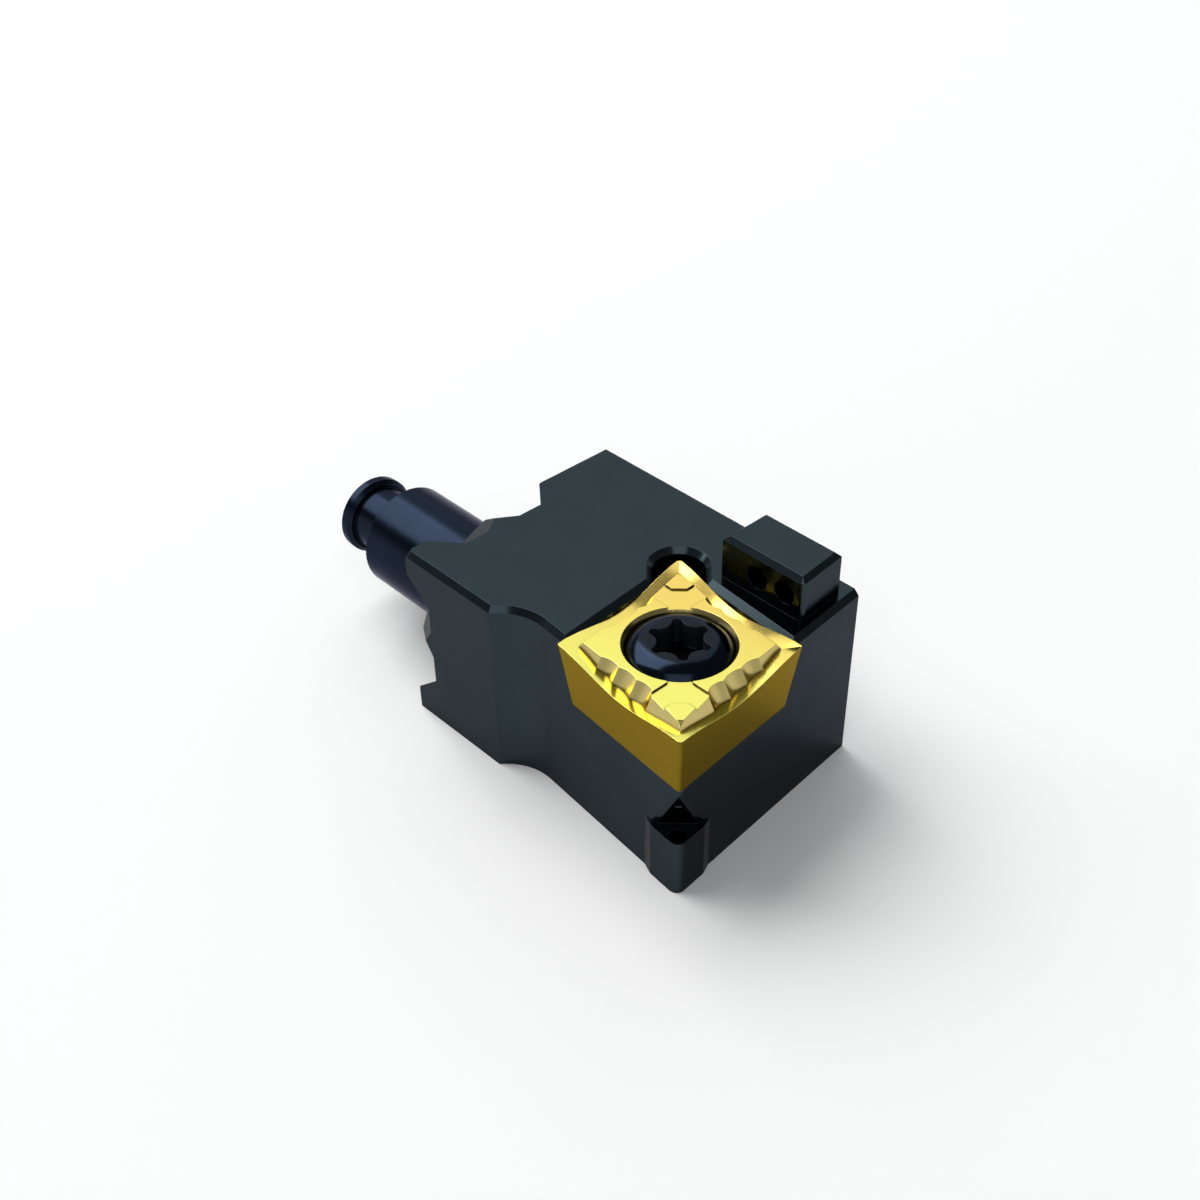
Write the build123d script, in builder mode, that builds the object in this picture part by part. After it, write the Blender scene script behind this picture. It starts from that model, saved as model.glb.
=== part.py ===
"""Quick-change turning tool holder with a screw-clamped rhombic insert.

Frame: the origin is the centre of the coupling, on the pull stud's axis and in the plane of the
four seating ears. +Y runs back along the stud, +X to the right, +Z up. Millimetres and degrees.
Places on the cutting end are given from the cutting corner, the insert's sharp front corner.
"""
import os
from math import cos, pi, radians, sin, tan

from build123d import *

# ---------------------------------------------------------------- holder body
body_width = 15.12          # across the shank, X
body_height = 11.10         # Z
axis_to_left_face = 5.66    # stud axis to the shank's left face
cutting_reach = 21.53       # ear seating plane to the cutting corner, Y
corner_overhang = 0.31      # cutting corner beyond the shank's left face
insert_above_top = 0.127    # cutting corner above the body's top face
top_edge_break = 0.32       # chamfer round the top face
side_wall_angle = 5.16      # left nose wall off the Y axis
side_wall_inset = 0.541     # left nose wall behind the cutting corner
front_wall_angle = 5.19     # front wall off the X axis
front_wall_inset = 0.550    # front wall behind the cutting corner
neck_start = 11.60          # cutting corner to the start of the neck arc, Y
neck_step = 14.46           # cutting corner to the sharp edge on the left face, Y

# ---------------------------------------------------------------- insert
inscribed_circle = 9.525
insert_angle = 80.0         # acute corner
insert_thickness = 3.97
lead_angle = 5.0            # left cutting edge off the Y axis
clearance_angle = 7.0
nose_radius = 0.20          # at the acute corners
side_corner_radius = 0.10   # at the obtuse corners
insert_bore_radius = 2.20
edge_dip = 0.65             # cutting edge below its corners at mid length
edge_steps = 12             # spline spans along a cutting edge
rake_angle = 12.0
rim_run = 4.5               # rake face's reach inwards, under the island
plateau_rise = 0.12         # island top above the cutting corner
island_depth = 1.60         # island wall's height down from the plateau
island_wall_angle = 30.0    # island wall off the vertical
wall_setback = 1.02         # island wall behind the cutting edge, beside the obtuse corner
scallop_crests = (          # from the acute corner, and behind the cutting edge
    (7.35, 1.02),
    (6.15, 1.19),
    (4.82, 1.25),
    (3.72, 1.34),
)
scallop_depth = 0.15
nose_wall_start = (3.45, 1.13)
nose_wall_slope = 0.117     # setback that the island wall loses per mm towards the acute corner
ridge_start = 1.58          # acute corner to the start of the nose ridge
ridge_angle = 18.0
pad_depth = 0.10            # pad below the island's plateau
pad_start = 2.60            # hole centre to the pad's inner end
pad_mouth = 0.64            # half width beside the hole
pad_flare = 3.05            # hole centre to the start of the pad's flared ends
pad_half_width = 1.70
pad_shoulder = 5.02         # hole centre to the pad's farthest points
pad_shoulder_half_width = 0.80
pad_end = 4.62              # hole centre to the pad's flat end
pad_end_half_width = 0.40

# ---------------------------------------------------------------- insert screw
thread_radius = 1.75
screw_length = 10.50
screw_end_break = 0.35
head_radius = 2.73
head_disc_radius = 1.74
head_rise = 0.37            # flat disc above the cutting corner
head_edge_drop = 0.15       # head's widest edge below the cutting corner
head_bulge = 0.10           # crown's fullness over a straight cone
seat_cone_angle = 23.0      # half angle of the screw seat
seat_lip_drop = 0.30        # top of the screw seat below the cutting corner
seat_lip_radius = 2.76
hole_mouth_radius = 3.03
drive_tip_radius = 1.70     # six-lobe recess
drive_valley_radius = 1.20
drive_valley_curve = 0.72
drive_tip_fillet = 0.22
drive_depth = 1.40
drive_lobes = 6
drive_turn = -9.5

# ---------------------------------------------------------------- pocket
relief_radius = 1.45        # round-ended slot behind the insert's rear corner
relief_setback = 0.32       # slot's end centre from the insert's rear corner
relief_length = 2.60
relief_depth = 0.25         # below the insert seat
thread_bottom = 0.60        # tapped hole beyond the screw's end

# ---------------------------------------------------------------- coupling
ear_height = 1.70           # ears above the coupling floor
coupling_taper = 30.0
recess_apothem = 5.874      # square recess between the ears, at its floor
boss_corner = 6.03          # octagonal boss, axis to corner at its foot
boss_rise = 1.67
boss_sides = 8
ear_edge_radius = 0.20      # rounding between an ear's seating face and the recess

# ---------------------------------------------------------------- pull stud
stud_radius = 3.20
stud_shoulder = 7.77        # seating plane to the end of the cylinder
stud_neck_radius = 2.00
stud_neck_length = 2.78
stud_head_inner_radius = 2.20
stud_head_radius = 2.44
stud_head_cone = 0.25
stud_head_length = 0.79
stud_rear_break = 0.08
stud_bore_radius = 1.00
stud_thread_radius = 2.40
stud_thread_length = 7.00   # inside the body, from the seating plane
stud_end_break = 0.30
stud_socket_end = 0.70      # socket beyond the stud's end

# ---------------------------------------------------------------- coolant lug
lug_left = 11.16            # cutting corner to the lug's left face, X
lug_right_inset = 0.93      # lug's right face inside the body's
lug_back = 7.955            # cutting corner to the lug's rear face, Y
lug_rise = 2.64             # above the body's top face
lug_front_setback = 0.742   # behind the body's front wall
lug_edge_break = 0.285
lug_corner_radius = 0.32
lug_root = 1.0              # lug's stock below the body's top face
nozzle_radius = 0.68
nozzle_length = 2.30        # from the lug's left face
nozzles = (                 # from the cutting corner in Y, and above the body's top face
    (5.45, 1.18),
    (3.55, 1.27),
)

# ---------------------------------------------------------------- post under the cutting corner
post_proud = 0.215
post_reach = 2.18           # along each wall from the post's corner
post_ramp = 0.70
post_corner_radius = 0.50
post_top_drop = 7.52        # below the body's top face
nose_relief_depth = 1.50    # wall corner to the relief, along the diagonal, at the post's top
nose_relief_break = 0.18
lower_nozzle_radius = 0.46
lower_nozzle_inset = 0.95   # post's corner to the nozzle, along the diagonal

# ---------------------------------------------------------------- coolant galleries
lug_gallery_radius = 0.60
post_gallery_radius = 0.50
gallery_start_rise = 1.00   # above the end of the stud's socket
riser_inset = 1.75          # riser to the nozzles, behind the lug's left face
riser_foot_drop = 7.00      # riser's foot below the body's top face
elbow_shift = 0.35          # lower gallery's elbow behind the lower nozzle's mouth
elbow_height = 1.60         # above the bottom face

# ---------------------------------------------------------------- fits and cutters
seat_clearance = 0.01       # insert's flank to the pocket wall
screw_clearance = 0.02      # insert screw to its seat and its tapped hole
stud_clearance = 0.02       # stud's thread to its socket, radial
cut_past = 1.0              # how far a cutter runs past the stock
same_place = 0.001          # closer than this, two heights or lengths are the same

# ---------------------------------------------------------------- heights
top_z = body_height / 2
bottom_z = -body_height / 2
tip_z = top_z + insert_above_top
seat_z = tip_z - insert_thickness
post_top = top_z - post_top_drop
screw_top = tip_z + head_rise
screw_end = screw_top - screw_length


# ---------------------------------------------------------------- plan
def heading(angle):
    """Unit vector in plan, at an angle from +X."""
    return Vector(cos(radians(angle)), sin(radians(angle)))


def crossing(point_a, direction_a, point_b, direction_b):
    """Where two lines in plan meet."""
    spread = direction_a.cross(direction_b).Z
    return point_a + direction_a * ((point_b - point_a).cross(direction_b).Z / spread)


left_x = -axis_to_left_face
right_x = left_x + body_width
tip = Vector(left_x - corner_overhang, -cutting_reach)

left_edge_angle = 90 - lead_angle
right_edge_angle = left_edge_angle - insert_angle
half_angle = insert_angle / 2
diagonal_angle = right_edge_angle + half_angle
insert_side = inscribed_circle / sin(radians(insert_angle))
diagonal = heading(diagonal_angle)
insert_centre = tip + diagonal * (insert_side * cos(radians(half_angle)))
rear_corner = tip + diagonal * (2 * insert_side * cos(radians(half_angle)))

side_run = heading(90 - side_wall_angle)
side_out = heading(180 - side_wall_angle)
front_run = heading(front_wall_angle)
front_out = heading(front_wall_angle - 90)
side_wall = tip - side_out * side_wall_inset
front_wall = tip - front_out * front_wall_inset
x_line = Vector(1, 0)
y_line = Vector(0, 1)
nose_corner = crossing(side_wall, side_run, front_wall, front_run)
front_right = crossing(front_wall, front_run, Vector(right_x, 0), y_line)
neck_tangent = crossing(side_wall, side_run, tip + y_line * neck_start, x_line)
neck_edge_y = tip.Y + neck_step


# ================================================================ coupling recess, a cutter
with BuildPart() as coupling_recess:
    with BuildSketch(Plane.XZ.offset(ear_height)):
        Rectangle(2 * recess_apothem, 2 * recess_apothem, rotation=45)
    extrude(amount=-(ear_height + cut_past), taper=-coupling_taper)
    with BuildSketch(Plane.XZ.offset(ear_height)):
        RegularPolygon(boss_corner, boss_sides)
    extrude(amount=-boss_rise, taper=coupling_taper, mode=Mode.SUBTRACT)


# ================================================================ holder body
# pocket floor: the insert's foot, grown by the clearance and run out past the nose
foot_inset = insert_thickness * tan(radians(clearance_angle))
pocket_inset = foot_inset - seat_clearance / cos(radians(clearance_angle))
pocket_corner = rear_corner - diagonal * (pocket_inset / sin(radians(half_angle)))
pocket_left = pocket_corner - heading(right_edge_angle) * (insert_side + cut_past)
pocket_right = pocket_corner - heading(left_edge_angle) * (insert_side + cut_past)
pocket_front = pocket_left + pocket_right - pocket_corner
pocket_height = tip_z - seat_z + cut_past
relief_middle = rear_corner - diagonal * (relief_setback + relief_length / 2)

# post's plan: its faces stand proud of the nose walls and run back to them in two ramps
post_side = side_wall + side_out * post_proud
post_front = front_wall + front_out * post_proud
post_corner = crossing(post_side, side_run, post_front, front_run)
post_foot = post_reach + post_ramp
post_outline = (
    post_corner,
    post_corner + front_run * post_reach,
    post_corner + front_run * post_foot - front_out * post_proud,
    post_corner + (front_run + side_run) * post_foot,
    post_corner + side_run * post_foot - side_out * post_proud,
    post_corner + side_run * post_reach,
)
nose_relief_height = seat_z - post_top
nose_relief_plane = Plane(
    origin=(nose_corner.X, nose_corner.Y, post_top), x_dir=diagonal, z_dir=heading(diagonal_angle - 90)
)
nose_relief_run_out = nose_relief_height * (1 + cut_past / nose_relief_depth)

lug_x = tip.X + lug_left
lug_back_y = tip.Y + lug_back
lug_front = front_wall - front_out * lug_front_setback
lug_front_left = crossing(lug_front, front_run, Vector(lug_x, 0), y_line)
lug_right_x = right_x - lug_right_inset
lug_front_right = crossing(lug_front, front_run, Vector(lug_right_x, 0), y_line)
nozzle_mouths = [Vector(lug_x, tip.Y + along, top_z + rise) for along, rise in nozzles]

screw_hole_end = screw_end - thread_bottom
socket_depth = stud_thread_length + stud_socket_end
gallery_start = Vector(0, gallery_start_rise - socket_depth, 0)
riser_top = (nozzle_mouths[0] + nozzle_mouths[1]) / 2 + Vector(riser_inset, 0, 0)
riser_foot = Vector(riser_top.X, riser_top.Y, top_z - riser_foot_drop)
lower_mouth = post_corner + diagonal * lower_nozzle_inset + Vector(0, 0, post_top)
elbow = lower_mouth + diagonal * elbow_shift + Vector(0, 0, bottom_z + elbow_height - post_top)
galleries = (
    (gallery_start, riser_foot, lug_gallery_radius),
    (riser_foot, riser_top, lug_gallery_radius),
    (gallery_start, elbow, post_gallery_radius),
    (elbow, lower_mouth * 2 - elbow, lower_nozzle_radius),
)


def breaks_top(edge):
    """Edges of the top face, apart from those at the right face and the coupling."""
    middle = edge @ 0.5
    return middle.X < right_x - top_edge_break and middle.Y < -top_edge_break


def leaves_relief(edge):
    """The slanting edges between the nose relief and the two nose walls."""
    behind_nose = nose_relief_plane.to_local_coords(edge @ 0.5).X
    return edge.length > nose_relief_height and behind_nose < nose_relief_depth


def is_ear_edge(edge):
    """The four slanting edges between an ear's seating face and the recess."""
    run = edge @ 1 - edge @ 0
    seated = abs((edge @ 0).Y) < same_place and abs((edge @ 1).Y) < same_place
    return seated and abs(abs(run.X) - abs(run.Z)) < same_place


with BuildPart() as holder_body:
    with BuildSketch(Plane.XY.offset(bottom_z)):
        with BuildLine():
            Polyline(
                (left_x, neck_edge_y),
                (left_x, 0),
                (right_x, 0),
                (right_x, front_right.Y),
                (nose_corner.X, nose_corner.Y),
                (neck_tangent.X, neck_tangent.Y),
            )
            TangentArc((neck_tangent.X, neck_tangent.Y), (left_x, neck_edge_y), tangent=side_run)
        make_face()
    extrude(amount=body_height)

    # pocket: seat, two drafted walls and the slot that clears the insert's rear corner
    with BuildSketch(Plane.XY.offset(seat_z)):
        with BuildLine():
            Polyline(pocket_corner, pocket_left, pocket_front, pocket_right, close=True)
        make_face()
    extrude(amount=pocket_height, taper=-clearance_angle, mode=Mode.SUBTRACT)
    with BuildSketch(Plane.XY.offset(seat_z - relief_depth)):
        with Locations(relief_middle):
            SlotCenterToCenter(relief_length, 2 * relief_radius, rotation=diagonal_angle)
    extrude(amount=pocket_height, mode=Mode.SUBTRACT)
    chamfer(holder_body.faces().sort_by(Axis.Z)[-1].edges().filter_by(breaks_top), top_edge_break)

    # post under the cutting corner
    with BuildSketch(Plane.XY.offset(bottom_z)) as post_plan:
        with BuildLine():
            Polyline(*post_outline, close=True)
        make_face()
        fillet(post_plan.vertices().sort_by_distance(post_corner)[0], post_corner_radius)
    extrude(amount=post_top - bottom_z)

    # relief from the cutting corner down to the post
    with BuildSketch(nose_relief_plane):
        with BuildLine():
            Polyline(
                (-cut_past, nose_relief_run_out),
                (nose_relief_depth, 0),
                (-cut_past, 0),
                close=True,
            )
        make_face()
    extrude(amount=post_foot, both=True, mode=Mode.SUBTRACT)
    chamfer(holder_body.edges().filter_by(leaves_relief), nose_relief_break)

    # coupling face
    add(coupling_recess.part, mode=Mode.SUBTRACT)
    fillet(holder_body.edges().filter_by(is_ear_edge), ear_edge_radius)

    # coolant lug
    with BuildSketch(Plane.XY.offset(top_z - lug_root)) as lug_plan:
        with BuildLine():
            Polyline(
                lug_front_left,
                lug_front_right,
                (lug_right_x, lug_back_y),
                (lug_x, lug_back_y),
                close=True,
            )
        make_face()
        fillet(lug_plan.vertices().sort_by_distance(lug_front_left)[0], lug_corner_radius)
    extrude(amount=lug_root + lug_rise)
    chamfer(holder_body.faces().sort_by(Axis.Z)[-1].edges(), lug_edge_break)

    # nozzles in the lug's left face
    for mouth in nozzle_mouths:
        with Locations(Plane(origin=mouth, z_dir=(1, 0, 0))):
            Cylinder(
                nozzle_radius,
                nozzle_length,
                align=(Align.CENTER, Align.CENTER, Align.MIN),
                mode=Mode.SUBTRACT,
            )

    # tapped hole for the insert screw
    with Locations((insert_centre.X, insert_centre.Y, screw_hole_end)):
        Cylinder(
            thread_radius + screw_clearance,
            seat_z - screw_hole_end,
            align=(Align.CENTER, Align.CENTER, Align.MIN),
            mode=Mode.SUBTRACT,
        )

    # socket for the pull stud
    with Locations(Plane(origin=(0, 0, 0), z_dir=(0, -1, 0))):
        Cylinder(
            stud_thread_radius + stud_clearance,
            socket_depth,
            align=(Align.CENTER, Align.CENTER, Align.MIN),
            mode=Mode.SUBTRACT,
        )

    # coolant galleries from the socket to the lug's riser, and to the lower nozzle in the post's top
    for start, end, radius in galleries:
        run = end - start
        with Locations(Plane(origin=start, z_dir=run)):
            Cylinder(
                radius,
                run.length,
                align=(Align.CENTER, Align.CENTER, Align.MIN),
                mode=Mode.SUBTRACT,
            )
holder_body.part.label = "holder_body"


# ================================================================ pull stud
boss_face_y = boss_rise - ear_height
stud_neck_end = stud_shoulder + stud_neck_length
stud_rear_y = stud_neck_end + stud_head_length
stud_end_y = -stud_thread_length
with BuildPart() as pull_stud:
    with BuildSketch(Plane.XY):
        with BuildLine():
            Polyline(
                (stud_bore_radius, stud_end_y),
                (stud_thread_radius - stud_end_break, stud_end_y),
                (stud_thread_radius, stud_end_y + stud_end_break),
                (stud_thread_radius, boss_face_y),
                (stud_radius, boss_face_y),
                (stud_radius, stud_shoulder),
                (stud_neck_radius, stud_shoulder),
                (stud_neck_radius, stud_neck_end),
                (stud_head_inner_radius, stud_neck_end),
                (stud_head_radius, stud_neck_end + stud_head_cone),
                (stud_head_radius, stud_rear_y - stud_rear_break),
                (stud_head_radius - stud_rear_break, stud_rear_y),
                (stud_bore_radius, stud_rear_y),
                close=True,
            )
        make_face()
    revolve(axis=Axis.Y)
pull_stud.part.label = "pull_stud"


# ================================================================ insert
def edge_height(share):
    """Height of the cutting edge against its corners, at a share of its length."""
    return -edge_dip * sin(pi * share) ** 2


sides = (
    (tip, heading(left_edge_angle), heading(left_edge_angle - 90), -1),
    (tip, heading(right_edge_angle), heading(right_edge_angle + 90), 1),
    (rear_corner, heading(left_edge_angle + 180), heading(left_edge_angle + 90), -1),
    (rear_corner, heading(right_edge_angle + 180), heading(right_edge_angle - 90), 1),
)
rim_rise = cut_past * tan(radians(rake_angle))
rim_end = insert_side + 2 * cut_past
cutting_edge = [
    (cut_past + insert_side * step / edge_steps, edge_height(step / edge_steps))
    for step in range(edge_steps + 1)
]

# the rake faces: under each dipping cutting edge, run inwards and down
with BuildPart() as rim_form:
    for corner, along, inward, _ in sides:
        start = corner - (along + inward) * cut_past + Vector(0, 0, tip_z + rim_rise)
        with BuildSketch(Plane(origin=start, x_dir=along, z_dir=along.cross(Vector(0, 0, 1)))):
            with BuildLine():
                Spline(*cutting_edge, tangents=((1, 0), (1, 0)))
                Polyline(
                    cutting_edge[-1],
                    (rim_end, 0),
                    (rim_end, -insert_thickness),
                    (0, -insert_thickness),
                    (0, 0),
                    cutting_edge[0],
                )
            make_face()
        downhill = inward * cos(radians(rake_angle)) - Vector(0, 0, sin(radians(rake_angle)))
        extrude(amount=rim_run, dir=downhill)

# the scalloped island: where the four leaning walls enclose the middle
island_low = tip_z + plateau_rise - island_depth
island_lean = island_depth * tan(radians(island_wall_angle))
island_end = insert_side + cut_past
pad_outline = (
    (pad_mouth, -pad_start),
    (pad_mouth, -pad_flare),
    (pad_half_width, -pad_flare - (pad_half_width - pad_mouth)),
    (pad_shoulder_half_width, -pad_shoulder),
    (pad_end_half_width, -pad_end),
    (-pad_end_half_width, -pad_end),
    (-pad_shoulder_half_width, -pad_shoulder),
    (-pad_half_width, -pad_flare - (pad_half_width - pad_mouth)),
    (-pad_mouth, -pad_flare),
    (-pad_mouth, -pad_start),
)
with BuildPart() as island_form:
    for index, (corner, along, inward, hand) in enumerate(sides):
        foot = corner - inward * island_lean + Vector(0, 0, island_low)
        crests = [(place, hand * setback) for place, setback in scallop_crests]
        nose_start = (nose_wall_start[0], hand * nose_wall_start[1])
        nose_end = nose_start[1] - hand * nose_wall_slope * (nose_start[0] + cut_past)
        with BuildSketch(Plane(origin=foot, x_dir=along, z_dir=(0, 0, 1))):
            with BuildLine():
                for start, end in zip(crests, crests[1:]):
                    middle = ((start[0] + end[0]) / 2, (start[1] + end[1]) / 2)
                    hollow = (middle[0], middle[1] + hand * scallop_depth)
                    ThreePointArc(start, hollow, end)
                Polyline(
                    crests[-1],
                    nose_start,
                    (-cut_past, nose_end),
                    (-cut_past, hand * insert_side),
                    (island_end, hand * insert_side),
                    (island_end, hand * wall_setback),
                    crests[0],
                )
            make_face()
        lean = inward * sin(radians(island_wall_angle)) + Vector(0, 0, cos(radians(island_wall_angle)))
        extrude(
            amount=island_depth / cos(radians(island_wall_angle)),
            dir=lean,
            mode=Mode.INTERSECT if index else Mode.ADD,
        )
    for corner, turn in ((tip, 0), (rear_corner, 180)):
        # nose ridge, then the shallow pad beside the hole
        away = heading(diagonal_angle + turn)
        ridge_run = ridge_start + cut_past
        ridge_foot = corner + away * ridge_start + Vector(0, 0, tip_z + plateau_rise)
        with BuildSketch(Plane(origin=ridge_foot, x_dir=away, z_dir=away.cross(Vector(0, 0, 1)))):
            with BuildLine():
                ridge_drop = ridge_run * tan(radians(ridge_angle))
                Polyline((0, 0), (-ridge_run, 0), (-ridge_run, -ridge_drop), close=True)
            make_face()
        extrude(amount=insert_side, both=True, mode=Mode.SUBTRACT)
        pad_floor = insert_centre + Vector(0, 0, tip_z + plateau_rise - pad_depth)
        across = heading(diagonal_angle + turn - 90)
        with BuildSketch(Plane(origin=pad_floor, x_dir=across, z_dir=(0, 0, 1))):
            with BuildLine():
                Polyline(*pad_outline, close=True)
            make_face()
        extrude(amount=pad_depth + cut_past, mode=Mode.SUBTRACT)

foot_tip = tip + diagonal * (foot_inset / sin(radians(half_angle)))
foot_rear = rear_corner - diagonal * (foot_inset / sin(radians(half_angle)))
foot_side = insert_side - 2 * foot_inset / sin(radians(insert_angle))
foot_left = foot_tip + heading(left_edge_angle) * foot_side
foot_right = foot_tip + heading(right_edge_angle) * foot_side
seat_origin = insert_centre + Vector(0, 0, seat_z)
section_plane = Plane(origin=seat_origin, x_dir=(1, 0, 0), z_dir=(0, -1, 0))
screw_axis = Axis((insert_centre.X, insert_centre.Y, seat_z), (0, 0, 1))
seat_lip = (seat_lip_radius, insert_thickness - seat_lip_drop)
seat_cone_rise = (seat_lip_radius - insert_bore_radius) / tan(radians(seat_cone_angle))
hole_mouth = (hole_mouth_radius, insert_thickness + plateau_rise)

with BuildPart() as insert_top:
    add(rim_form.part)
    add(island_form.part)



def is_acute_corner(edge):
    """The slanting edges at the two acute corners, from the insert's foot to its top."""
    off_centre = (edge @ 0.5 - insert_centre).dot(diagonal)
    return abs((edge @ 0).Z - (edge @ 1).Z) > insert_thickness and abs(off_centre) > insert_side / 2


def is_obtuse_corner(edge):
    """The slanting edges at the two obtuse corners, from the insert's foot to its top."""
    return abs((edge @ 0).Z - (edge @ 1).Z) > insert_thickness and not is_acute_corner(edge)


with BuildPart() as cutting_insert:
    with BuildSketch(Plane.XY.offset(seat_z)):
        with BuildLine():
            Polyline(foot_tip, foot_left, foot_rear, foot_right, close=True)
        make_face()
    extrude(amount=insert_thickness + plateau_rise, taper=-clearance_angle)
    fillet(cutting_insert.edges().filter_by(is_acute_corner), nose_radius)
    obtuse_edges = cutting_insert.edges().filter_by(is_obtuse_corner)
    fillet(obtuse_edges, side_corner_radius)
    add(insert_top.part, mode=Mode.INTERSECT)
    with BuildSketch(section_plane):
        with BuildLine():
            Polyline(
                (0, -cut_past),
                (insert_bore_radius, -cut_past),
                (insert_bore_radius, seat_lip[1] - seat_cone_rise),
                seat_lip,
            )
            TangentArc(
                seat_lip,
                hole_mouth,
                tangent=(sin(radians(seat_cone_angle)), cos(radians(seat_cone_angle))),
            )
            Polyline(
                hole_mouth,
                (hole_mouth_radius, insert_thickness + cut_past),
                (0, insert_thickness + cut_past),
                (0, -cut_past),
            )
        make_face()
    revolve(axis=screw_axis, mode=Mode.SUBTRACT)
cutting_insert.part.label = "cutting_insert"


# ================================================================ insert screw
cone_gap = screw_clearance / cos(radians(seat_cone_angle))
head_cone_top = seat_lip[1] - (seat_lip_radius - cone_gap - head_radius) / tan(radians(seat_cone_angle))
head_cone_foot = head_cone_top - (head_radius - thread_radius) / tan(radians(seat_cone_angle))
head_edge = (head_radius, insert_thickness - head_edge_drop)
head_disc = (head_disc_radius, insert_thickness + head_rise)
head_middle = ((head_edge[0] + head_disc[0]) / 2, (head_edge[1] + head_disc[1]) / 2)
head_crown = (head_middle[0] + head_bulge / 2, head_middle[1] + head_bulge)
screw_foot = screw_end - seat_z
drive_plane = Plane(
    origin=(insert_centre.X, insert_centre.Y, screw_top), x_dir=heading(drive_turn), z_dir=(0, 0, 1)
)
with BuildPart() as insert_screw:
    with BuildSketch(section_plane):
        with BuildLine():
            Polyline(
                (0, screw_foot),
                (thread_radius - screw_end_break, screw_foot),
                (thread_radius, screw_foot + screw_end_break),
                (thread_radius, head_cone_foot),
                (head_radius, head_cone_top),
                head_edge,
            )
            ThreePointArc(head_edge, head_crown, head_disc)
            Polyline(head_disc, (0, insert_thickness + head_rise), (0, screw_foot))
        make_face()
    revolve(axis=screw_axis)
    with BuildSketch(drive_plane) as drive:
        Circle(drive_tip_radius)
        valley_middle = drive_valley_radius + drive_valley_curve
        with PolarLocations(valley_middle, drive_lobes, start_angle=180 / drive_lobes):
            Circle(drive_valley_curve, mode=Mode.SUBTRACT)
        fillet(drive.vertices(), drive_tip_fillet)
    extrude(amount=-drive_depth, mode=Mode.SUBTRACT)
insert_screw.part.label = "insert_screw"


os.makedirs("parts", exist_ok=True)
for piece in (holder_body, pull_stud, cutting_insert, insert_screw):
    export_step(piece.part, f"parts/{piece.part.label}.step")
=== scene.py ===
"""Looks for the quick-change turning tool holder: materials, studio light, floor and camera."""

import math

import bpy
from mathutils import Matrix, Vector

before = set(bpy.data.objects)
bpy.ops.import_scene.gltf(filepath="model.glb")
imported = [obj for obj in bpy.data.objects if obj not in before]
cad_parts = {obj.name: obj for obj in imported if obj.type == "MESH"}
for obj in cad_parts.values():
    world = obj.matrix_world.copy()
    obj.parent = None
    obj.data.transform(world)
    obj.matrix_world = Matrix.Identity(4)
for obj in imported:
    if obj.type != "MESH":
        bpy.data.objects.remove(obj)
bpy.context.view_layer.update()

MM = 0.001

# camera, at the photograph's viewing angle, in mm
CAMERA_PLACE = (-46.164, -60.076, 56.468)
CAMERA_TARGET = (-4.051, -16.624, 5.677)
CAMERA_LENS = 47.963
CAMERA_SENSOR = 36.0
CAMERA_SHIFT = (-0.03107, 0.06456)  # shares of the picture's width
CAMERA_REACH = (1.0, 10000.0)

# floor under the holder's bottom face, in mm
FLOOR_Z = -5.55
FLOOR_RADIUS = 450.0
FLOOR_SIDES = 96
FLOOR_WHITE = (0.97, 0.97, 0.97, 1)
FLOOR_ROUGHNESS = 0.9

# surround: its colours by height, from 0 at the horizon to 1 overhead
WORLD_STRENGTH = 1.0
WORLD_STOPS = (
    (0.10, (1.0, 1.0, 1.0)),
    (0.30, (0.17, 0.175, 0.18)),
)

# softboxes: the way from the part to each, its side in mm, its radiance and its colour
SOFTBOX_DISTANCE = 1200
SOFTBOXES = {
    "rear_softbox": ((0.53, 0.55, 0.64), 1000, 0.95, (0.96, 1.0, 1.0)),
    "key_softbox": ((-0.10, 0.62, 0.78), 1000, 4.2, (1.0, 0.995, 0.985)),
    "fill_softbox": ((-0.46, -0.45, 0.77), 800, 1.3, (0.98, 0.99, 1.0)),
}

# insert screw's axis on the part, in mm
SCREW_AXIS = (-0.731, -16.291)

# samples of the rounded edges and of the corners' shade
EDGE_SAMPLES = 4
CORNER_SAMPLES = 8

# ranges of a value, from where its effect starts to where it is full
NOISE_MIDDLE = (0.3, 0.7)       # of a noise: most of its values
EDGE_TURN = (0.995, 0.90)       # of the rounded normal's cosine to the flat one
WEAR_AND_HIGHLIGHT_OPENNESS = (0.75, 0.95)  # of the openness: the holder's outer edges, where wear and a painted highlight lighten the oxide
GOLD_CORNER_SHADE_OPENNESS = (0.60, 0.96)    # of the openness: the insert out of the painted shade in its corners
UPWARD = (0.6, 0.9)             # of the upward share: the insert's top faces, clear of the sides' painted shade
SLOPING = (0.0, 0.3)            # of the upward share: from its flanks' deeper painted shade to its chip walls' lighter painted shade
FLANKS = (0.3, 0.0)             # of the upward share: its flanks alone
RECESS_WALLS = (0.30, 0.05)     # of the upward share: the screw's near-vertical walls, those of the recess above all, which get painted light
FLAT_DISC = (0.97, 0.995)       # of the upward share: the screw's disc
HIGHLIGHT_FADE_SPAN = (-4.0, 4.5)         # of the place across the insert, in mm: where the top's painted highlight fades out

# holder: blue-black oxide on milled steel; the tints colour what is seen at a grazing angle
OXIDE_DARK = (0.026, 0.038, 0.045, 1)
OXIDE_PALE = (0.036, 0.050, 0.057, 1)
# rubbed outer edges: worn oxide, and also a painted highlight along them
OXIDE_WORN_AND_HIGHLIT = (0.055, 0.070, 0.085, 1)
OXIDE_TINT = (0.57, 0.55, 0.56, 1)
OXIDE_SHEEN = (0.15, 0.19)
OXIDE_CLOUD_SHEEN = 0.04
MILLED_LINES = (0.25, 16.0, 16.0)  # cycles per mm along each axis

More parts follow.
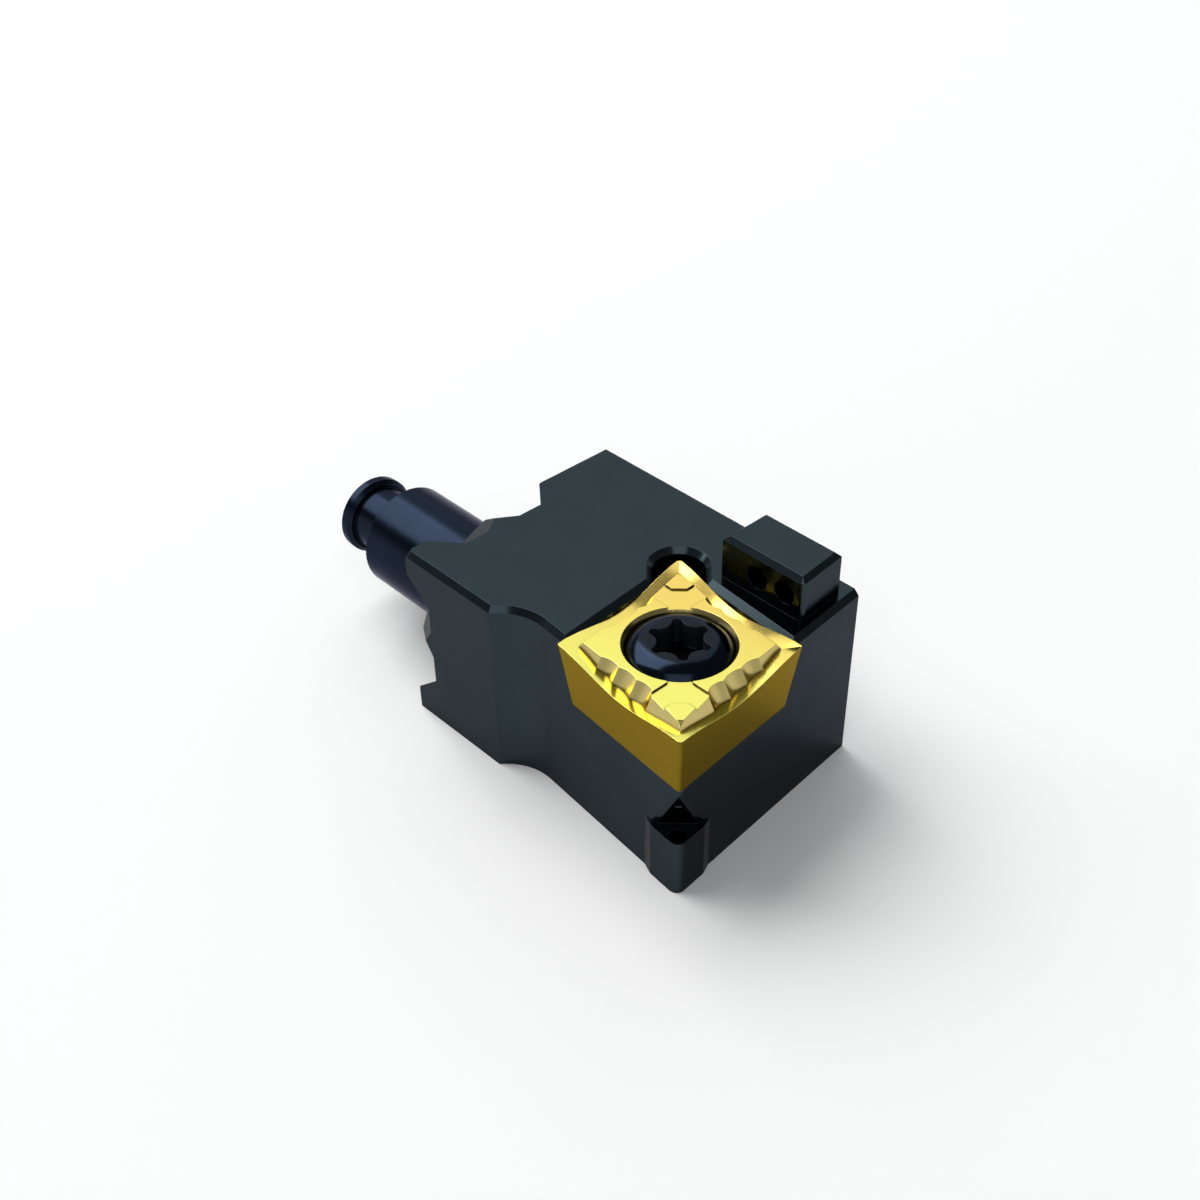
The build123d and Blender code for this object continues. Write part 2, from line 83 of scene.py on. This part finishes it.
# stud: bluer oxide on turned steel
STUD_AXIS = (0, 0, 0)
STUD_DARK = (0.0085, 0.0130, 0.0235, 1)
STUD_PALE = (0.0125, 0.0190, 0.0325, 1)
# rubbed edges: worn oxide, and also a painted highlight along them
STUD_WORN_AND_HIGHLIT = (0.045, 0.065, 0.095, 1)
STUD_TINT = (0.60, 0.60, 0.66, 1)
STUD_SHEEN = (0.22, 0.27)

# insert: gold coating of orange; a painted highlight makes its top paler lemon on its left, and
# painted shade darkens its chip walls, flanks and corners
# painted highlight: the paler lemon of the top; the orange is the coating's own colour
GOLD_HIGHLIGHT_LEMON = (0.86, 0.82, 0.180, 1)
GOLD_ORANGE = (0.85, 0.60, 0.150, 1)
# painted shade: darker, browner copies of the gold for the chip walls and the flanks
GOLD_SHADED_WALL_DARK = (0.50, 0.41, 0.150, 1)
GOLD_SHADED_WALL_PALE = (0.58, 0.48, 0.190, 1)
GOLD_SHADED_FLANK_DARK = (0.17, 0.115, 0.010, 1)
GOLD_SHADED_FLANK_PALE = (0.21, 0.145, 0.014, 1)
# painted shade in the insert's corners and creases
GOLD_CORNER_SHADE = (0.16, 0.11, 0.020, 1)
# painted highlight: pale gold along the insert's edges
GOLD_EDGE_HIGHLIGHT = (0.95, 0.80, 0.32, 1)
GOLD_TINT = (0.95, 0.78, 0.52, 1)
GOLD_SHEEN = (0.15, 0.20)
GOLD_EDGE_HIGHLIGHT_SHARE = 0.15
GOLD_HIGHLIGHT_FADE_SHARE = 0.8  # of the hue, by the place across the insert: the fade of the painted highlight
GOLD_CLOUD_SHARE = 0.2  # of the hue, by the cloudiness
GOLD_HIGHLIGHT_SLANT = 0.4        # how far the painted highlight's fade runs along the holder
GROUND_LINES = (0.5, 0.5, 22.0)  # cycles per mm along each axis

# insert screw: blued steel with a paler disc, and painted light on the walls of its drive recess
BLUED_DARK = (0.010, 0.015, 0.026, 1)
BLUED_PALE = (0.014, 0.021, 0.036, 1)
BLUED_DISC = (0.015, 0.020, 0.024, 1)
# painted light: a paler blue for the recess walls
BLUED_RECESS_PAINTED_LIGHT = (0.07, 0.085, 0.105, 1)
# rubbed edges: worn bluing, and also a painted highlight along every edge
BLUED_WORN_AND_HIGHLIT = (0.06, 0.08, 0.10, 1)
BLUED_TINT = (0.7, 0.7, 0.75, 1)
BLUED_SHEEN = (0.13, 0.18)
BLUED_WEAR_AND_HIGHLIGHT_SHARE = 0.6
BLUED_RECESS_SHEEN = 0.35


# ---------------------------------------------------------------- camera, light and floor
def add_camera():
    """The scene's camera, aimed by its place and target."""
    data = bpy.data.cameras.new("camera")
    camera = bpy.data.objects.new("camera", data)
    bpy.context.collection.objects.link(camera)
    place = Vector(CAMERA_PLACE) * MM
    aim = Vector(CAMERA_TARGET) * MM - place
    camera.location = place
    camera.rotation_euler = aim.to_track_quat("-Z", "Y").to_euler()
    data.sensor_width = CAMERA_SENSOR
    data.lens = CAMERA_LENS
    data.shift_x, data.shift_y = CAMERA_SHIFT
    data.clip_start, data.clip_end = (reach * MM for reach in CAMERA_REACH)
    bpy.context.scene.camera = camera


def add_softbox(name, direction, side, radiance, colour):
    """A square area light that faces the part from a direction."""
    data = bpy.data.lights.new(name, "AREA")
    data.shape = "SQUARE"
    data.size = side * MM
    data.energy = radiance * math.pi * (side * MM) ** 2
    data.color = colour
    lamp = bpy.data.objects.new(name, data)
    bpy.context.collection.objects.link(lamp)
    way = Vector(direction).normalized()
    lamp.location = way * SOFTBOX_DISTANCE * MM
    lamp.rotation_euler = (-way).to_track_quat("-Z", "Y").to_euler()


def add_world():
    """A surround that is white up to a little above the horizon, and dim overhead."""
    world = bpy.data.worlds.new("studio")
    bpy.context.scene.world = world
    world.use_nodes = True
    tree = world.node_tree
    tree.nodes.clear()
    place = add(tree, "ShaderNodeTexCoord")
    split = add(tree, "ShaderNodeSeparateXYZ", {"Vector": place.outputs["Generated"]})
    sky = ramp(tree, split.outputs["Z"], WORLD_STOPS)
    light = add(tree, "ShaderNodeBackground", {"Color": sky, "Strength": WORLD_STRENGTH})
    add(tree, "ShaderNodeOutputWorld", {"Surface": light.outputs["Background"]})


def add_floor():
    """A large plain round floor."""
    material, tree = new_material("floor_white")
    finish(tree, FLOOR_WHITE, FLOOR_ROUGHNESS, specular=0.0)
    bpy.ops.mesh.primitive_circle_add(
        vertices=FLOOR_SIDES, radius=FLOOR_RADIUS * MM, fill_type="NGON"
    )
    floor = bpy.context.object
    floor.name = "floor"
    floor.location.z = FLOOR_Z * MM
    floor.data.materials.append(material)


# ---------------------------------------------------------------- nodes
def new_material(name):
    """A node material, and its tree emptied."""
    material = bpy.data.materials.new(name)
    material.use_nodes = True
    material.node_tree.nodes.clear()
    return material, material.node_tree


def set_inputs(tree, node, inputs):
    """Sets a node's inputs, by name or number, to plain values or links."""
    for key, value in inputs.items():
        if isinstance(value, bpy.types.NodeSocket):
            tree.links.new(value, node.inputs[key])
        else:
            node.inputs[key].default_value = value


def add(tree, kind, inputs=None, **settings):
    """A node with its settings and inputs."""
    made = tree.nodes.new(kind)
    for key, value in settings.items():
        setattr(made, key, value)
    set_inputs(tree, made, inputs or {})
    return made


def finish(tree, colour, roughness, normal=None, metallic=0.0, specular=0.5, tint=(1, 1, 1, 1)):
    """The surface shader and the output; the colour, roughness and normal may be links."""
    inputs = {"Base Color": colour, "Roughness": roughness, "Metallic": metallic}
    inputs["Specular IOR Level"] = specular
    inputs["Specular Tint"] = tint
    if normal is not None:
        inputs["Normal"] = normal
    surface = add(tree, "ShaderNodeBsdfPrincipled", inputs)
    add(tree, "ShaderNodeOutputMaterial", {"Surface": surface.outputs["BSDF"]})


def maths(tree, operation, first, second=0.0):
    """The result of a sum, product or root of values."""
    return add(tree, "ShaderNodeMath", {0: first, 1: second}, operation=operation).outputs[0]


def vector_maths(tree, operation, first, second):
    """The node that adds or multiplies two vectors, or takes their dot product."""
    return add(tree, "ShaderNodeVectorMath", {0: first, 1: second}, operation=operation)


def mapped(tree, value, low, high, to_low=0.0, to_high=1.0):
    """A value carried smoothly from one range to another, and held at its ends."""
    inputs = {"Value": value, "From Min": low, "From Max": high}
    inputs |= {"To Min": to_low, "To Max": to_high}
    made = add(tree, "ShaderNodeMapRange", inputs, interpolation_type="SMOOTHSTEP")
    return made.outputs["Result"]


def ramp(tree, value, stops):
    """A colour ramp through stops of (position, colour)."""
    made = add(tree, "ShaderNodeValToRGB", {"Fac": value})
    elements = made.color_ramp.elements
    while len(elements) < len(stops):
        elements.new(1.0)
    for element, (position, colour) in zip(elements, stops):
        element.position = position
        element.color = (*colour, 1)
    return made.outputs["Color"]


def mixed(tree, share, first, second):
    """Two colours mixed by a share; the numbers are the sockets that a colour mix uses."""
    made = add(tree, "ShaderNodeMix", data_type="RGBA")
    set_inputs(tree, made, {0: share, 6: first, 7: second})
    return made.outputs[2]


def coordinates(tree, stretch=(1, 1, 1), shift=(0, 0, 0)):
    """Object coordinates in mm, shifted and then stretched along each axis."""
    place = add(tree, "ShaderNodeTexCoord").outputs["Object"]
    scaled = vector_maths(tree, "MULTIPLY", place, (1 / MM,) * 3).outputs[0]
    moved = vector_maths(tree, "ADD", scaled, shift).outputs[0]
    return vector_maths(tree, "MULTIPLY", moved, stretch).outputs[0]


def noise(tree, vector, scale=1.0, detail=2.0):
    """A noise value from 0 to 1; its scale is in cycles per mm."""
    inputs = {"Vector": vector, "Scale": scale, "Detail": detail}
    return add(tree, "ShaderNodeTexNoise", inputs).outputs["Fac"]


def turned_rings(tree, centre, axis):
    """Coordinates that vary only along an axis and away from it, for turning marks."""
    place = coordinates(tree, shift=tuple(-value for value in centre))
    split = add(tree, "ShaderNodeSeparateXYZ", {"Vector": place})
    sides = [name for name in "XYZ" if name != axis]
    squares = [maths(tree, "POWER", split.outputs[name], 2.0) for name in sides]
    radius = maths(tree, "SQRT", maths(tree, "ADD", *squares))
    rings = add(tree, "ShaderNodeCombineXYZ", {"X": radius, "Y": split.outputs[axis]})
    return rings.outputs["Vector"]


def bump(tree, height, depth, normal):
    """A bump of a depth in mm, over another normal."""
    inputs = {"Height": height, "Distance": depth * MM, "Normal": normal}
    return add(tree, "ShaderNodeBump", inputs).outputs["Normal"]


def soft_edges(tree, radius):
    """The normal with edges rounded by a radius in mm, and how strongly they are rounded here."""
    bevel = add(tree, "ShaderNodeBevel", {"Radius": radius * MM}, samples=EDGE_SAMPLES)
    rounded = bevel.outputs["Normal"]
    flat = add(tree, "ShaderNodeNewGeometry").outputs["Normal"]
    cosine = vector_maths(tree, "DOT_PRODUCT", rounded, flat).outputs["Value"]
    return rounded, mapped(tree, cosine, *EDGE_TURN)


def openness(tree, reach):
    """How open the surface is within a reach in mm: 1 in the open, towards 0 in a corner."""
    inputs = {"Distance": reach * MM}
    return add(tree, "ShaderNodeAmbientOcclusion", inputs, samples=CORNER_SAMPLES).outputs["AO"]


def facing_up(tree):
    """The upward share of the surface's own normal."""
    normal = add(tree, "ShaderNodeTexCoord").outputs["Normal"]
    return add(tree, "ShaderNodeSeparateXYZ", {"Vector": normal}).outputs["Z"]


# ---------------------------------------------------------------- materials
def blackened_steel():
    """Milled steel with a blue-black oxide: faint cutter lines, cloudy oxide, and outer edges
    made lighter, partly as rubbed wear and partly as a painted highlight.
    """
    material, tree = new_material("blackened_steel")
    cloud = noise(tree, coordinates(tree), scale=0.35, detail=3.0)
    grain = noise(tree, coordinates(tree), scale=14.0, detail=3.0)
    lines = noise(tree, coordinates(tree, stretch=MILLED_LINES))
    rounded, edge = soft_edges(tree, radius=0.03)
    outward = mapped(tree, openness(tree, reach=0.20), *WEAR_AND_HIGHLIGHT_OPENNESS)
    # lighter outer edges, broken up by the grain: part wear, part painted highlight
    worn_and_highlit = maths(tree, "MULTIPLY", maths(tree, "MULTIPLY", edge, outward), grain)
    oxide = mixed(tree, cloud, OXIDE_DARK, OXIDE_PALE)
    colour = mixed(tree, worn_and_highlit, oxide, OXIDE_WORN_AND_HIGHLIT)
    grain_sheen = mapped(tree, grain, *NOISE_MIDDLE, *OXIDE_SHEEN)
    cloud_sheen = maths(tree, "MULTIPLY", cloud, OXIDE_CLOUD_SHEEN)
    sheen = maths(tree, "ADD", grain_sheen, cloud_sheen)
    surface = bump(tree, lines, depth=0.00040, normal=rounded)
    surface = bump(tree, grain, depth=0.00015, normal=surface)
    finish(tree, colour, sheen, surface, metallic=1.0, tint=OXIDE_TINT)
    return material


def stud_steel():
    """Turned and blackened steel with fine rings round the stud."""
    material, tree = new_material("stud_steel")
    marks = noise(tree, turned_rings(tree, STUD_AXIS, "Y"), scale=9.0)
    cloud = noise(tree, coordinates(tree), scale=0.4, detail=3.0)
    rounded, edge = soft_edges(tree, radius=0.05)
    oxide = mixed(tree, cloud, STUD_DARK, STUD_PALE)
    # lighter edges along the turning marks: part wear, part painted highlight
    colour = mixed(tree, maths(tree, "MULTIPLY", edge, marks), oxide, STUD_WORN_AND_HIGHLIT)
    sheen = mapped(tree, marks, *NOISE_MIDDLE, *STUD_SHEEN)
    surface = bump(tree, marks, depth=0.0002, normal=rounded)
    finish(tree, colour, sheen, surface, metallic=1.0, tint=STUD_TINT)
    return material


def coated_carbide():
    """Gold-coated carbide: pressed and polished on top, where a painted highlight pales it, and
    ground on the flanks, which painted shade makes browner and darker, as it does the chip walls
    and corners.
    """
    material, tree = new_material("coated_carbide")
    up = facing_up(tree)
    grain = noise(tree, coordinates(tree), scale=30.0)
    cloud = noise(tree, coordinates(tree), scale=0.5)
    ground = noise(tree, coordinates(tree, stretch=GROUND_LINES), detail=3.0)
    rounded, edge = soft_edges(tree, radius=0.04)

    # painted highlight: the top is paler lemon towards the insert's left and fades to orange on
    # its right, with cloudy tone added
    from_screw = coordinates(tree, shift=(-SCREW_AXIS[0], -SCREW_AXIS[1], 0))
    split = add(tree, "ShaderNodeSeparateXYZ", {"Vector": from_screw})
    along = maths(tree, "MULTIPLY", split.outputs["Y"], GOLD_HIGHLIGHT_SLANT)
    away_from_highlight = mapped(tree, maths(tree, "ADD", split.outputs["X"], along), *HIGHLIGHT_FADE_SPAN)
    highlight_fade_by_place = maths(tree, "MULTIPLY", away_from_highlight, GOLD_HIGHLIGHT_FADE_SHARE)
    hue_by_cloud = maths(tree, "MULTIPLY", cloud, GOLD_CLOUD_SHARE)
    hue = maths(tree, "ADD", highlight_fade_by_place, hue_by_cloud)

    top = mixed(tree, hue, GOLD_HIGHLIGHT_LEMON, GOLD_ORANGE)
    # painted shade: the chip walls and flanks get darker copies of the gold, by how little they
    # face up
    shaded_wall = mixed(tree, cloud, GOLD_SHADED_WALL_DARK, GOLD_SHADED_WALL_PALE)
    shaded_flank = mixed(tree, ground, GOLD_SHADED_FLANK_DARK, GOLD_SHADED_FLANK_PALE)
    side = mixed(tree, mapped(tree, up, *SLOPING), shaded_flank, shaded_wall)
    coat_with_painted_light = mixed(tree, mapped(tree, up, *UPWARD), side, top)
    # painted shade: corners and creases darken towards a dark gold
    out_of_corner_shade = mapped(tree, openness(tree, reach=0.20), *GOLD_CORNER_SHADE_OPENNESS)
    shaded = mixed(tree, out_of_corner_shade, GOLD_CORNER_SHADE, coat_with_painted_light)
    # painted highlight: the edges are lightened towards pale gold
    edge_highlight_share = maths(tree, "MULTIPLY", edge, GOLD_EDGE_HIGHLIGHT_SHARE)
    colour = mixed(tree, edge_highlight_share, shaded, GOLD_EDGE_HIGHLIGHT)

    sheen = mapped(tree, grain, *NOISE_MIDDLE, *GOLD_SHEEN)
    marks = maths(tree, "MULTIPLY", ground, mapped(tree, up, *FLANKS))
    surface = bump(tree, marks, depth=0.00030, normal=rounded)
    surface = bump(tree, grain, depth=0.00005, normal=surface)
    finish(tree, colour, sheen, surface, metallic=1.0, tint=GOLD_TINT)
    return material


def screw_steel():
    """Blued steel: turned crown, paler flat disc round the drive recess, painted light on the
    recess walls, and edges lighter by wear and a painted highlight.
    """
    material, tree = new_material("screw_steel")
    marks = noise(tree, turned_rings(tree, (*SCREW_AXIS, 0), "Z"), scale=12.0)
    up = facing_up(tree)
    rounded, edge = soft_edges(tree, radius=0.04)
    blue = mixed(tree, marks, BLUED_DARK, BLUED_PALE)
    head = mixed(tree, mapped(tree, up, *FLAT_DISC), blue, BLUED_DISC)
    # painted light: near-vertical faces, the drive recess's walls above all, are paler, and
    # rougher too
    walls = mapped(tree, up, *RECESS_WALLS)
    recess = mixed(tree, walls, head, BLUED_RECESS_PAINTED_LIGHT)
    # lighter edges: part wear, part painted highlight
    worn_and_highlit = maths(tree, "MULTIPLY", edge, BLUED_WEAR_AND_HIGHLIGHT_SHARE)
    colour = mixed(tree, worn_and_highlit, recess, BLUED_WORN_AND_HIGHLIT)
    polish = mapped(tree, marks, *NOISE_MIDDLE, *BLUED_SHEEN)
    sheen = maths(tree, "ADD", polish, maths(tree, "MULTIPLY", walls, BLUED_RECESS_SHEEN))
    surface = bump(tree, marks, depth=0.0002, normal=rounded)
    finish(tree, colour, sheen, surface, metallic=1.0, tint=BLUED_TINT)
    return material


def dress(node, material):
    """Puts a material on every slot of a CAD node."""
    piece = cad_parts[node]
    for index in range(len(piece.data.materials)):
        piece.data.materials[index] = material


# ---------------------------------------------------------------- scene
bpy.context.scene.view_settings.view_transform = "Standard"
add_camera()
add_world()
add_floor()
for softbox, facts in SOFTBOXES.items():
    add_softbox(softbox, *facts)

dress("holder_body", blackened_steel())
dress("pull_stud", stud_steel())
dress("cutting_insert", coated_carbide())
dress("insert_screw", screw_steel())
